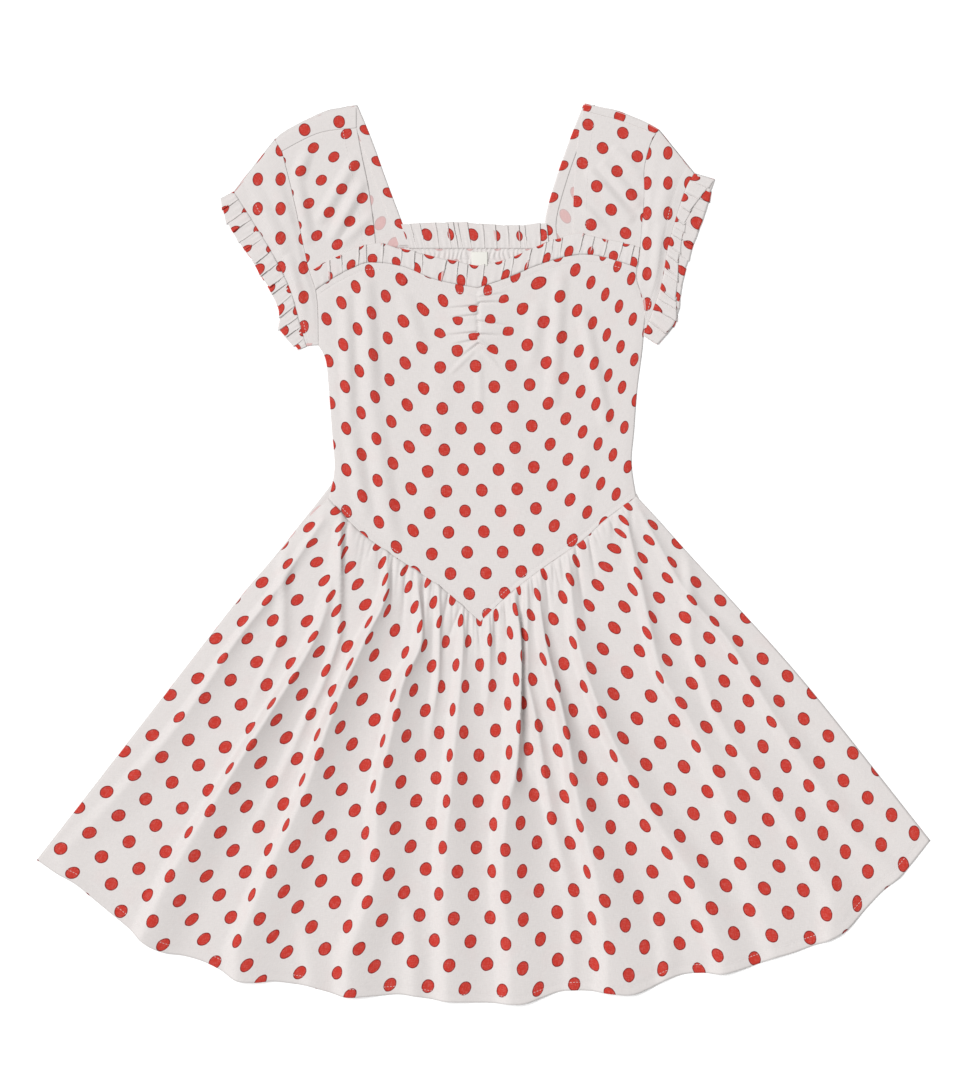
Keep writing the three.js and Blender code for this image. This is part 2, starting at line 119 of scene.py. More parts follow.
def printed_cotton(name, repeat, dot, faded=0.0):
    """Printed cotton with its weave, on the piece's own map, in metres of cloth as it was cut.
    faded is how much of the print the cloth's wrong side hides."""
    material, tree, shader = new_material(name)
    chart = add_node(tree, "ShaderNodeUVMap", uv_map="cloth").outputs[0]
    wobble = noise(tree, chart, INK_GRAIN, 2.0).outputs["Color"]
    nudge = vector_math(tree, "SUBTRACT", wobble, (0.5, 0.5, 0.5))
    nudge = vector_math(tree, "MULTIPLY", nudge, (INK_STRAYS, INK_STRAYS, 0))
    place = vector_math(tree, "ADD", chart, nudge)
    first = dot_distance(tree, place, repeat, dot, 0.5)
    second = dot_distance(tree, place, repeat, dot, 1.0)
    near = add_node(tree, "ShaderNodeMath", {0: first, 1: second}, operation="MINIMUM").outputs[0]
    inside = ranged(tree, near, *DOT_EDGE, kind="SMOOTHSTEP")
    heart = ranged(tree, near, *RIM_EDGE, kind="SMOOTHSTEP")
    # Threads: fine slubs along both directions of the weave lighten and darken the colour.
    along = vector_math(tree, "MULTIPLY", chart, (1.0, SLUB, 1.0))
    across = vector_math(tree, "MULTIPLY", chart, (SLUB, 1.0, 1.0))
    weft = noise(tree, along, THREAD_GRAIN, 3.0).outputs[0]
    warp = noise(tree, across, THREAD_GRAIN, 3.0).outputs[0]
    threads = add_node(tree, "ShaderNodeMath", {0: weft, 1: warp}, operation="ADD").outputs[0]
    tone = ranged(tree, threads, 0.7, 1.3, *THREAD_TONES)
    bare = ranged(tree, threads, 0.98, 1.3, 0.0, BARE_THREADS)
    blush = noise(tree, chart, BLUSH_GRAIN, 1.0).outputs[0]
    blushing = ranged(tree, blush, 0.58, 0.75, 0.0, MOST_BLUSH)
    ground = mixed(tree, blushing, (*GROUND, 1), (*BLUSH, 1))
    ink = mixed(tree, heart, (*DOT_RIM, 1), (*DOT, 1))
    ink = mixed(tree, bare, ink, (*GROUND, 1))
    if faded:
        ink = mixed(tree, faded, ink, (*FADED, 1))
    coloured = mixed(tree, inside, ground, ink)
    toned = add_node(tree, "ShaderNodeVectorMath", {0: coloured, "Scale": tone}, operation="SCALE")
    tree.links.new(toned.outputs[0], shader.inputs["Base Color"])
    bump = add_node(tree, "ShaderNodeBump", {"Height": threads, "Strength": 0.35, "Distance": 0.0002})
    tree.links.new(bump.outputs[0], shader.inputs["Normal"])
    shader.inputs["Roughness"].default_value = 0.86
    shader.inputs["Specular IOR Level"].default_value = 0.25
    shader.inputs["Sheen Weight"].default_value = 0.12
    shader.inputs["Sheen Roughness"].default_value = 0.5
    return material


skirt_cotton = printed_cotton("skirt_cotton", SKIRT_REPEAT, SKIRT_DOT)
skirt_inside = printed_cotton("skirt_cotton_inside", SKIRT_REPEAT, SKIRT_DOT, faded=0.8)


def edge(*places):
    """A smooth line through a few places, read by the fraction of its length."""
    points = np.array(places, float)
    t = np.linspace(0, len(points) - 1, 2400)
    i = np.minimum(t.astype(int), len(points) - 2)
    w = (t - i)[:, None]
    before, start = points[np.maximum(i - 1, 0)], points[i]
    end, after = points[i + 1], points[np.minimum(i + 2, len(points) - 1)]
    pull, push = (end - before) / 2, (after - start) / 2
    cubic = (2 * start - 2 * end + pull + push) * w**3
    square = (3 * end - 3 * start - 2 * pull - push) * w**2
    line = cubic + square + pull * w + start
    run = np.concatenate([[0], np.cumsum(np.linalg.norm(np.diff(line, axis=0), axis=1))])

    def read(f):
        return np.stack([np.interp(f, run / run[-1], line[:, k]) for k in range(line.shape[1])], -1)

    read.reach = run[-1]
    return read


def between(top, bottom, left, right):
    """Places on a panel stretched between a top and a bottom edge, with sides that curve as given."""
    def read(u, v):
        across, down = u[..., None], v[..., None]
        bulges = []
        for side in (left, right):
            bulges.append(side(v) - side(0.0) * (1 - down) - side(1.0) * down)
        flat = top(u) * (1 - down) + bottom(u) * down
        return flat + bulges[0] * (1 - across) + bulges[1] * across

    return read


def mesh_from(name, bm):
    mesh = bpy.data.meshes.new(name)
    bm.to_mesh(mesh)
    bm.free()
    return mesh


def add_object(name, data):
    made = bpy.data.objects.new(name, data)
    bpy.context.scene.collection.objects.link(made)
    return made


places = {}  # of each piece's thread crossings, by the piece's name


def make_cloth(name, node, columns, rows, form, sides):
    """A sheet of cloth from a grid, which stands for one solid. columns and rows are how many
    steps its threads make, or the fractions where they lie. form gives each crossing's place and
    its place on the cut, in millimetres. sides are the materials of its upper and lower side."""
    columns, rows = [np.linspace(0, 1, n + 1) if isinstance(n, int) else n for n in (columns, rows)]
    bm = bmesh.new()
    bmesh.ops.create_grid(bm, x_segments=len(columns) - 1, y_segments=len(rows) - 1, size=0.5)
    mesh = mesh_from(name, bm)
    start = np.empty(3 * len(mesh.vertices))
    mesh.vertices.foreach_get("co", start)
    i = np.rint((start[0::3] + 0.5) * (len(columns) - 1)).astype(int)
    j = np.rint((0.5 - start[1::3]) * (len(rows) - 1)).astype(int)
    u, v = np.meshgrid(columns, rows, indexing="ij")
    place, cut = form(u, v)
    mesh.vertices.foreach_set("co", (place[i, j] * MM).ravel())
    corner = np.empty(len(mesh.loops), int)
    mesh.loops.foreach_get("vertex_index", corner)
    chart = mesh.uv_layers.new(name="cloth")
    chart.data.foreach_set("uv", (cut[i, j][corner] * MM).ravel())
    mesh.polygons.foreach_set("use_smooth", np.ones(len(mesh.polygons), bool))
    mesh.update()
    facing = np.array([(p.center.z, p.normal.z) for p in mesh.polygons])
    upper = facing[facing[:, 0] >= facing[:, 0].mean()]
    if upper[:, 1].mean() < 0:
        mesh.flip_normals()
    piece = add_object(name, mesh)
    for material in sides:
        mesh.materials.append(material)
    wall = piece.modifiers.new("wall", "SOLIDIFY")
    wall.thickness = WALL * MM
    wall.offset = -1
    wall.material_offset = 1
    wall.use_even_offset = False
    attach(piece, "root")
    if node:
        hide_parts(node)
    places[name] = place
    return piece


OUTER_LEFT = edge((-147, 71), (-160, 54), (-176, 34), (-207, -5), (-240, -44), (-315, -141), (-436.5, -298))
OUTER_RIGHT = edge((149.5, 60), (152, 54), (171, 34), (206, -5), (242, -44), (320, -132), (436.5, -279))
BACK_HEM = edge(
    (-436.5, -298), (-390, -325), (-343, -357), (-280, -388), (-187, -409), (-93, -422), (0, -427),
    (78, -420), (195, -401), (289, -383), (340, -361), (385, -329), (436.5, -279),
)
BACK_WAIST = edge((-147, 71), (0, 66), (149.5, 60))

# The skirt panels are flared: cut from flat cloth, their sides slant and their hem is an arc.
# Columns: fraction across, then the seam edge's and the hem edge's places on the flat cloth.
SKIRT_CUT = np.array([
    (0.00, -357, 515, -466, 73),
    (0.08, -303, 479, -403, 48),
    (0.17, -247, 433, -313, 13),
    (0.28, -148, 382, -190, -29),
    (0.39, -64, 347, -83, -55),
    (0.50, -1, 318, 21, -60),
    (0.61, 84, 338, 128, -50),
    (0.72, 165, 377, 241, -27),
    (0.83, 227, 412, 344, 10),
    (0.92, 288, 460, 432, 42),
    (1.00, 342, 494, 496, 76),
])


def skirt_cut(u, v):
    at = [np.interp(u, SKIRT_CUT[:, 0], SKIRT_CUT[:, k]) for k in range(5)]
    return np.stack([at[1] + (at[3] - at[1]) * v, at[2] + (at[4] - at[2]) * v], -1)


def back_skirt_form(u, v):
    flat = between(BACK_WAIST, BACK_HEM, OUTER_LEFT, OUTER_RIGHT)(u, v)
    height = BACK + WALL + 0 * u
    return np.dstack([flat, height]), skirt_cut(u, v)


back_skirt = make_cloth(
    "back_skirt_panel", "back_skirt", 120, 60, back_skirt_form, (skirt_inside, skirt_cotton)
)


# The front skirt: one flared panel gathered into the pointed waist seam. It falls from the seam
# in many small gathers, which join into a dozen long soft folds that fan out to the hem.

FRONT = 1.35  # outer face of the front layer where it lies flat
EDGE = 0.8  # height at which front and back meet along a side


def joined(first, second, split=None):
    """Two lines end to end. split is the fraction where the second starts, if not by their lengths."""
    share = split or first.reach / (first.reach + second.reach)

    def read(f):
        f = np.asarray(f, float)
        early = first(np.minimum(f / share, 1))
        late = second(np.maximum((f - share) / (1 - share), 0))
        return np.where((f < share)[..., None], early, late)

    read.reach = first.reach + second.reach
    return read


def moved(whole, dx, dy):
    read = lambda f: whole(f) + np.array([dx, dy])
    read.reach = whole.reach
    return read


def smooth_step(t):
    t = np.clip(t, 0, 1)
    return t * t * (3 - 2 * t)


def rolled(inset, reach):
    """From 0 at a panel's edge to 1 this far in, as an edge rounds off."""
    return np.sin(0.5 * np.pi * np.clip(inset / reach, 0, 1))


def bell(offset, width, power=2):
    return np.exp(-((np.abs(offset) / width) ** power))


def drift(x, y, size, seed):
    """Slow random waves, from -1 to 1, that make cloth uneven. size is about one wave's length."""
    rng = np.random.default_rng(seed)
    total = 0
    for _ in range(7):
        turn, phase = rng.uniform(0, 2 * math.pi, 2)
        length = size * rng.uniform(0.7, 1.5)
        total = total + np.sin((x * math.cos(turn) + y * math.sin(turn)) * 2 * math.pi / length + phase)
    return total / 4


WAIST_LEFT = edge((-151, 55), (-130, 32), (-108, 13), (-45, -29), (-21, -49), (-3, -65))
WAIST_RIGHT = edge((-3, -65), (22, -41), (52, -17), (96, 14), (118, 34), (149, 57))
WAIST = joined(WAIST_LEFT, WAIST_RIGHT, 0.5)
FRONT_HEM = edge(
    (-436, -298), (-417, -311), (-399, -321), (-382, -335), (-364, -350), (-347, -364), (-329, -380),
    (-312, -388), (-294, -391), (-276, -396), (-259, -404), (-241, -415), (-224, -417), (-206, -416),
    (-189, -418), (-171, -421), (-154, -426), (-136, -431), (-118, -431), (-101, -430), (-83, -429),
    (-66, -431), (-48, -434), (-31, -436), (4, -437), (22, -438), (39, -438), (57, -432), (75, -426),
    (92, -425), (110, -426), (127, -428), (145, -429), (162, -423), (180, -414), (197, -409), (215, -408),
    (233, -409), (250, -405), (268, -399), (285, -393), (303, -388), (320, -382), (338, -376), (355, -366),
    (373, -346), (390, -328), (408, -313), (436, -279),
)
SKIRT_LEFT = edge((-151, 54.4), (-173, 33), (-206, -6), (-239, -45), (-314, -141), (-436, -298))
SKIRT_RIGHT = edge((149, 56.4), (170, 34), (205, -5), (241, -44), (319, -132), (436, -279))

# Folds, from left to right. Each row is a place on a fold's crest: x, y, the widths of its left
# and right slopes, and its height.
SKIRT_FOLDS = [
    [(-157, 34, 8, 10, 2), (-203, -34, 9, 14, 4), (-241, -83, 9, 20, 5), (-294, -161, 12, 41, 5),
     (-359, -239, 14, 43, 4), (-407, -290, 14, 29, 2)],
    [(-138, 36, 8, 8, 1), (-147, -20, 11, 16, 3), (-166, -83, 11, 23, 8), (-213, -161, 11, 41, 14),
     (-261, -239, 11, 47, 14), (-306, -317, 12, 51, 13), (-337, -385, 13, 51, 12)],
    [(-94, -7, 6, 8, 3), (-99, -44, 8, 18, 8), (-118, -83, 9, 39, 12), (-150, -161, 11, 45, 15),
     (-177, -239, 11, 49, 14), (-212, -317, 12, 55, 13), (-239, -385, 13, 58, 12)],
    [(-65, -29, 6, 7, 3), (-63, -83, 9, 20, 9), (-80, -122, 10, 37, 13), (-88, -161, 10, 45, 12),
     (-103, -239, 11, 45, 11), (-106, -317, 12, 43, 12), (-131, -390, 13, 45, 12)],
    [(-21, -51, 6, 7, 3), (-21, -83, 7, 10, 4), (-27, -161, 10, 31, 7), (-33, -239, 11, 39, 10),
     (-38, -317, 11, 45, 11), (-35, -390, 12, 43, 10)],
    [(30, -42, 9, 5, 4), (34, -83, 12, 4, 9), (34, -161, 16, 4, 13), (31, -210, 14, 12, 12),
     (22, -249, 12, 43, 12), (20, -317, 12, 49, 12), (27, -390, 13, 58, 11)],
    [(53, -31, 6, 7, 3), (58, -83, 8, 14, 7), (78, -161, 9, 16, 11), (92, -239, 11, 35, 13),
     (111, -317, 12, 47, 14), (122, -390, 13, 68, 13)],
    [(83, -11, 6, 8, 3), (90, -83, 9, 37, 7), (117, -161, 10, 35, 9), (156, -239, 11, 29, 9),
     (205, -317, 12, 33, 10), (234, -390, 13, 43, 9)],
    [(137, 41, 6, 8, 3), (164, -83, 9, 21, 7), (176, -122, 10, 39, 7), (201, -161, 12, 43, 6),
     (237, -239, 14, 53, 6), (262, -317, 14, 58, 6), (285, -385, 14, 49, 5)],
    [(201, -83, 9, 21, 3), (231, -161, 11, 39, 4), (270, -219, 12, 39, 5), (309, -278, 12, 39, 6),
     (340, -332, 12, 35, 6)],
    [(149, 52, 6, 8, 2), (195, -34, 9, 16, 4), (238, -83, 10, 21, 5), (286, -161, 12, 25, 5),
     (338, -239, 13, 27, 5), (375, -288, 13, 25, 4), (411, -317, 12, 20, 2)],
]
# Lesser folds, which start at the seam or at the hem and die away.
SKIRT_LESSER_FOLDS = [
    [(-196, -79, 8, 14, 4), (-216, -122, 8, 16, 2), (-232, -161, 8, 16, 0)],
    [(-141, -79, 7, 9, 5), (-155, -122, 8, 9, 4), (-173, -161, 8, 10, 3), (-208, -239, 8, 12, 2),
     (-233, -288, 8, 12, 0)],
    [(-44, -73, 6, 8, 4), (-45, -122, 7, 9, 4), (-50, -161, 8, 12, 2), (-54, -210, 8, 12, 0)],
    [(5, -71, 6, 8, 4), (5, -122, 8, 12, 3), (2, -161, 8, 12, 0)],
    [(42, -122, 8, 10, 3), (51, -161, 8, 9, 5), (64, -239, 8, 14, 5), (75, -288, 8, 12, 4),
     (86, -336, 8, 12, 2)],
    [(-75, -317, 9, 14, 0), (-71, -356, 10, 14, 3), (-68, -395, 10, 16, 4)],
    [(167, -327, 10, 16, 0), (175, -361, 10, 18, 3), (180, -395, 10, 18, 4)],
    [(-179, -336, 9, 14, 0), (-171, -385, 9, 20, 3), (-168, -405, 9, 20, 3)],
]
# Gathers, as the creases between them: x at the seam, x lower down, how far the crease runs down
# and how deep it is.
GATHERS = [
    (-141, -150, 40, 1.2), (-132, -137, 80, 2), (-115, -121, 58, 2), (-99, -102, 49, 2), (-88, -90, 58, 3),
    (-75, -78, 88, 3), (-68, -67, 29, 1.5), (-58, -59, 78, 3), (-48, -48, 58, 2), (-34, -41, 49, 2),
    (-21, -34, 68, 2.5), (-14, -16, 58, 2), (-7, 0, 39, 1.5), (10, 12, 58, 2), (20, 24, 49, 2),
    (37, 37, 88, 3), (47, 53, 58, 2), (60, 64, 68, 3), (69, 77, 49, 2), (90, 95, 88, 3),
    (103, 109, 68, 2.5), (126, 126, 39, 1.5), (137, 135, 58, 2), (145, 145, 39, 2),
]
GATHER_STEP = 43  # how much lower the second x is
GATHER_PUFF = 3.0  # how far the cloth stands up just below the seam
FINE_GATHERS = np.arange(-144, 146, 5.2)

SEAM_COVER = 0.6  # how far the skirt's top edge reaches under the bodice
SEAM_SHARE = 0.35  # share of its height that a fold has at the seam
SEAM_EASE = 30  # how far below the seam it has all of it
HEM_LOSS = 0.36  # share of its height that a fold loses towards the hem
HEM_EASE = (190, 150)  # how far below the seam that starts, and over what length
ROUND_FROM = 110  # folds lose their crisp ridges below this y, over the next length
ROUND_OVER = 230
MOST_ROUND = 0.75
SKIRT_ROLL = 14  # width of the rounded edge along each side
HEM_STITCHES = 7  # how far above the hem its stitches pull the cloth in
SKIRT_LENGTH = 370
# Crests lean to the right near the seam, and a little to the left further down.
LEAN_DEPTHS = (0, 60, 160, 360)
LEANS = (0.3, 0.35, 0.1, -0.05)


def fold_section(offset, left, right, soft):
    """A fold's section: a short steep rise on the left, a ridge, and a long slope that eases out.
    soft, from 0 to 1, rounds the ridge."""
    rise = 0.5 + 0.5 * np.cos(np.pi * np.clip(-offset / (left * (1 + 0.5 * soft)), 0, 1))
    s = np.clip(offset / right, 0, 1)
    fall = (1 - soft) * (1 - s) ** 2 + soft * (0.5 + 0.5 * np.cos(np.pi * s))
    return np.where(offset < 0, rise, fall)


def fold_height(x, y, table):
    """The height of all the folds in a table at a place."""
    total = 0 * x
    soft = MOST_ROUND * smooth_step((-y - ROUND_FROM) / ROUND_OVER)
    for rows in table:
        rows = np.array(rows, float)
        crest = edge(*rows[:, :2])
        line = crest(np.linspace(0, 1, 200))
        cx = np.interp(-y, -line[:, 1], line[:, 0])
        left, right, height = [np.interp(-y, -rows[:, 1], rows[:, k]) for k in (2, 3, 4)]
        total = total + height * fold_section(x - cx, left, right, soft)
    return total


def y_of(line, x):
    """The y at which a line across the dress passes this x."""
    points = line(np.linspace(0, 1, 400))
    return np.interp(x, points[:, 0], points[:, 1])


def gather_creases(x, depth):
    """The creases between the gathers: those above, and seeded fine ones."""
    grooves = 0 * x
    rng = np.random.default_rng(17)
    creases = list(GATHERS)
    for at in FINE_GATHERS:
        at = at + rng.uniform(-1.8, 1.8)
        creases.append((at, at * rng.uniform(1.0, 1.12), rng.uniform(15, 52), rng.uniform(1.0, 2.3)))
    for at, lower, reach, deep in creases:
        line = at + (lower - at) * depth / GATHER_STEP
        width = 0.95 + 0.03 * depth
        fade = np.clip(1 - depth / reach, 0, 1) ** 0.8
        grooves = grooves + deep * fade * bell(x - line, width, 1.25)
    return grooves


def blurred(values, columns):
    """Values smoothed across the panel by a bell curve of this many columns."""
    reach = 3 * columns
    weights = np.exp(-0.5 * (np.arange(-reach, reach + 1) / columns) ** 2)
    weights = weights / weights.sum()
    padded = np.pad(values, ((reach, reach), (0, 0)), mode="reflect")
    return np.apply_along_axis(lambda line: np.convolve(line, weights, "valid"), 0, padded)


def cloth_in_folds(place, cut):
    """How far the cloth slips along its own rows, so that the steep sides of folds hide the fullness."""
    steps, threads = np.diff(place, axis=0), np.diff(cut, axis=0)
    covered, length = np.linalg.norm(steps, axis=-1), np.linalg.norm(threads, axis=-1)
    slope = steps[..., 2] / np.maximum(np.hypot(steps[..., 0], steps[..., 1]), 0.05)
    steep = blurred(np.minimum(slope**2, 1).T, 2).T + np.linspace(0.07, 0.13, slope.shape[1])
    share = blurred(length - covered, 26) / blurred(steep, 26)
    slip = np.cumsum(covered + np.maximum(share, 0) * steep - length, axis=0)
    slip = blurred(slip.T, 3).T
    return np.concatenate([0 * cut[:1], slip[..., None] * threads / length[..., None]])


def front_skirt_form(u, v):
    flat = between(moved(WAIST, 0, SEAM_COVER), FRONT_HEM, SKIRT_LEFT, SKIRT_RIGHT)(u, v)
    x, y = flat[..., 0], flat[..., 1]
    depth = np.maximum(y_of(WAIST, x) - y, 0)
    grooves = gather_creases(x, depth)
    folds = fold_height(x, y, SKIRT_FOLDS) + fold_height(x, y, SKIRT_LESSER_FOLDS)
    folds = folds * (SEAM_SHARE + (1 - SEAM_SHARE) * smooth_step(depth / SEAM_EASE))
    folds = folds * (1 - HEM_LOSS * smooth_step((depth - HEM_EASE[0]) / HEM_EASE[1]))
    puff = GATHER_PUFF * (1 - np.exp(-depth / 3)) * np.exp(-depth / 60)
    uneven = 0.35 * drift(x, y, size=60, seed=4) * smooth_step(depth / 60)
    height = FRONT + folds + puff + uneven - grooves * (1 - np.exp(-depth / 2.5))
    height = np.maximum(height, EDGE + 0.3)
    width = np.linalg.norm(flat[-1] - flat[0], axis=-1)
    inset = np.minimum(u, 1 - u) * width
    height = EDGE + (height - EDGE) * rolled(inset, SKIRT_ROLL)
    height = height - 0.3 * bell((1 - v) * SKIRT_LENGTH - HEM_STITCHES, 1.6)
    x = x + np.interp(depth, LEAN_DEPTHS, LEANS) * folds * np.clip(inset / 20, 0, 1)
    place = np.stack([x, y, height], -1)
    cut = skirt_cut(u, v)
    return place, cut + cloth_in_folds(place, cut)


def graded(*stretches):
    """Fractions from 0 to 1, closer where a panel needs it: each stretch's end and its steps."""
    fractions = [0.0]
    for end, count in stretches:
        fractions.extend(np.linspace(fractions[-1], end, count + 1)[1:])
    return np.array(fractions)


skirt_rows = graded((0.1, 18), (0.965, 86), (1, 7))
front_skirt = make_cloth(
    "front_skirt_panel", "front_skirt", 400, skirt_rows, front_skirt_form, (skirt_cotton, skirt_inside)
)

THREAD_LIGHT = (0.80, 0.77, 0.76, 1)
THREAD_DARK = (0.70, 0.66, 0.65, 1)
thread, thread_tree, thread_shader = new_material("white_thread")
thread_place = add_node(thread_tree, "ShaderNodeTexCoord").outputs["Object"]
strands = noise(thread_tree, thread_place, 1800.0, 1.0).outputs[0]
thread_colour = mixed(thread_tree, strands, THREAD_LIGHT, THREAD_DARK)
thread_tree.links.new(thread_colour, thread_shader.inputs["Base Color"])
thread_shader.inputs["Roughness"].default_value = 0.6

STITCH = (2.3, 0.5, 0.35)  # length, width and height of one stitch
STITCH_PITCH = 3.1
STITCH_LIFT = [0, 0, 0.1]  # how far a stitch's middle lies above the cloth


def stitch_along(name, line):
    """A row of stitches in white thread, which follows a line of places on the cloth."""
    line = line + STITCH_LIFT
    run = np.concatenate([[0], np.cumsum(np.linalg.norm(np.diff(line, axis=0), axis=1))])
    bm = bmesh.new()
    for at in np.arange(STITCH_PITCH / 2, run[-1], STITCH_PITCH):
        ends = [[np.interp(at + side, run, line[:, k]) for k in range(3)] for side in (-1, 1)]
        middle = Vector(np.mean(ends, axis=0)) * MM
        turn = (Vector(ends[1]) - Vector(ends[0])).to_track_quat("X", "Z").to_matrix().to_4x4()
        size = Matrix.Diagonal([s * MM / 2 for s in STITCH]).to_4x4()
        placed = Matrix.Translation(middle) @ turn @ size
        bmesh.ops.create_icosphere(bm, subdivisions=1, radius=1, matrix=placed)
    mesh = mesh_from(name, bm)
    mesh.materials.append(thread)
    piece = add_object(name, mesh)
    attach(piece, "root")
    return piece


def line_across(panel, rows, v):
    """The line across a finished panel at one fraction of its length."""
    return places[panel][:, int(np.argmin(np.abs(rows - v)))]


hem_stitches = stitch_along("hem_stitches", line_across("front_skirt_panel", skirt_rows, 0.982)[4:-4])


# The back bodice: a plain panel, flat on the table, drawn in at the top by two rows of elastic.
# Only a strip of its wrong side shows, inside the neck.

BODICE_REPEAT = (34.6, 40.4)
BODICE_DOT = (11.6, 12.6)
bodice_cotton = printed_cotton("bodice_cotton", BODICE_REPEAT, BODICE_DOT)
bodice_inside = printed_cotton("bodice_cotton_inside", BODICE_REPEAT, BODICE_DOT, faded=0.7)
right_side_up = (bodice_cotton, bodice_inside)

# The outline, in stretches that this panel shares with its neighbours.
ARM_LEFT_YOKE = edge((-204, 406), (-197, 394.4))
ARM_LEFT_SHOULDER = edge((-197, 394.4), (-189, 363), (-181, 327), (-175.5, 300))
ARM_LEFT_FRILL = edge((-175.5, 300), (-171, 280), (-164, 259))
ARM_LEFT_BODICE = edge((-164, 259), (-162, 240), (-161.5, 205))
ARM_RIGHT_YOKE = edge((171.5, 415.5), (168.5, 411.5))
ARM_RIGHT_SHOULDER = edge((168.5, 411.5), (162, 398), (157, 376), (157, 350), (155, 325), (153, 300))
ARM_RIGHT_FRILL = edge((153, 300), (151.5, 290), (150, 281))
ARM_RIGHT_BODICE = edge((150, 281), (150, 268), (155, 255), (160, 246))
SIDE_LEFT = edge((-161.5, 205), (-154, 190), (-151, 161), (-148, 122), (-145.5, 85), (-151, 55))
SIDE_RIGHT = edge((160, 246), (157, 225), (155, 200), (150, 161), (147, 122), (144.5, 90), (149, 57))

BACK_TOP = 300
ELASTIC_ROWS = (288, 297)  # y of the two rows
ELASTIC_MIDDLE = 292  # y of the puckered strip's middle
PUCKER_REACH = 15
PUCKER_HEIGHT = 1.3
PUCKER_PITCH = 4.6
ELASTIC_TAKES = 0.35  # how much longer the cloth was cut for the length it is drawn in to


def hump(offset, left, right):
    """A smooth ridge: 1 at its middle, and 0 from this far to its left and right."""
    s = np.where(offset < 0, offset / left, offset / right)
    return 0.5 + 0.5 * np.cos(np.pi * np.clip(s, -1, 1))


def back_bodice_form(u, v):
    top = edge((-175.2, BACK_TOP), (0, BACK_TOP), (152.4, BACK_TOP))
    bottom = edge((-147, 71.6), (0, 66.6), (147, 60.6))
    left = joined(joined(ARM_LEFT_FRILL, ARM_LEFT_BODICE), SIDE_LEFT)
    right = joined(joined(ARM_RIGHT_FRILL, ARM_RIGHT_BODICE), SIDE_RIGHT)
    flat = between(top, bottom, left, right)(u, v)
    x, y = flat[..., 0], flat[..., 1]
    near = bell(y - ELASTIC_MIDDLE, PUCKER_REACH) * hump(x, 110, 100)
    waves = np.sin(x * 2 * np.pi / PUCKER_PITCH + 2.4 * drift(x, y, size=16, seed=9))
    pucker = PUCKER_HEIGHT * near * (0.5 + 0.5 * waves)
    for row in ELASTIC_ROWS:
        pucker = pucker * (1 - 0.75 * bell(y - row, 1.1))
    place = np.dstack([flat, BACK + WALL + pucker])
    return place, np.stack([x * (1 + ELASTIC_TAKES * near), y], -1)


back_bodice = make_cloth(
    "back_bodice_panel", "back_bodice", graded((0.3, 50), (0.74, 220), (1, 50)),
    graded((0.2, 50), (1, 24)), back_bodice_form, (bodice_inside, bodice_cotton),
)


# The front bodice: a fitted panel from the sweetheart neckline to the pointed waist. Soft creases
# fall from the bust, and a short gathered line draws in the centre front.

NECK_LEFT = edge((-164, 259), (-146, 271), (-127, 281), (-110, 286), (-79, 282), (-46, 269), (-6, 261))
NECK_RIGHT = edge((-6, 261), (21, 270), (55, 284), (88, 293), (114, 292), (150, 281))
NECKLINE = joined(NECK_LEFT, NECK_RIGHT, 0.5)

# Creases: x and y where each starts and ends, how far it reaches to each side, and its height.
BODICE_CREASES = [
    (-115, 262, -109, 150, 13, 3.5), (-109, 150, -88, 0, 14, 2.6), (-135, 250, -131, 122, 10, 2.6),
    (-131, 122, -117, 45, 12, 2.6), (-77, 249, -62, 205, 12, 1.8), (75, 270, 67, 152, 11, 2.6),
    (97, 236, 119, 132, 10, 2.6), (52, 240, 47, 190, 11, 1.8), (-40, 190, -52, 60, 18, 0.9),
    (20, 180, 34, 40, 18, 0.9), (100, 120, 92, 20, 16, 1.1), (-12, 197, -32, 178, 4, 1.1),
    (1, 197, 16, 181, 4, 1.1), (-5, 192, -3, 140, 6, 0.9),
]
# The gathered line at the centre front: each little fold's y where it starts, y where it ends,
# and how far it runs out from the line, to the left when negative.
CENTRE_LINE = -5.5
CENTRE_MIDDLE = 232  # y of the line's middle, and half its length
CENTRE_HALF = 34
CENTRE_DEPTH = 1.8
CENTRE_SWELL = 2.4  # how far the cloth around it stands up
CENTRE_FOLD_HEIGHT = 1.6
CENTRE_TAKES = 5.6  # cloth that each little fold hides at the line
CENTRE_REACH = 66  # how far to each side the cloth is drawn along with it
CENTRE_FOLDS = [
    (243, 240, -36), (234, 231, -30), (217, 214, -34), (210, 205, -26), (206, 190, -20),
    (251, 256, 30), (246, 247, 34), (228, 223, 32), (215, 214, 26), (207, 192, 22),
]
# The side thirds of the panel ride up when it is worn and pressed: x, how far up, how far across.
BODICE_SHIFT = np.array([
    (-165, 29, -14), (-150, 25, -12), (-134, 20, -10), (-105, 10, -4), (-88, 6, -1), (-57, -2, 0),
    (-22, 0, 0), (14, 0, 0), (60, 3, 0), (80, 9, 1), (94, 15, 2), (112, 25, 6), (130, 37, 12),
    (160, 54, 22),
])
BODICE_DOT_AT = (-18, 43)  # where a dot lies, as the cut's own origin
BODICE_SKEW = 0.05  # how far the print leans for its height
TOPSTITCH = {"neck": 7, "waist": 6, "width": 1.3, "depth": 0.25}
BODICE_WIDTH = 300
BODICE_ROLL = 9  # width of the rounded edge along each side


def crease_height(x, y, table):
    """The height of soft creases, where a table's rows give each one."""
    highest = 0 * x
    for x0, y0, x1, y1, reach, height in table:
        run = np.array([x1 - x0, y1 - y0], float)
        t = np.clip(((x - x0) * run[0] + (y - y0) * run[1]) / (run @ run), 0, 1)
        distance = np.hypot(x - x0 - t * run[0], y - y0 - t * run[1])
        ridge = height * hump(distance, reach, reach) * (0.6 + 0.4 * np.sin(np.pi * t))
        highest = np.maximum(highest, ridge)
    return highest


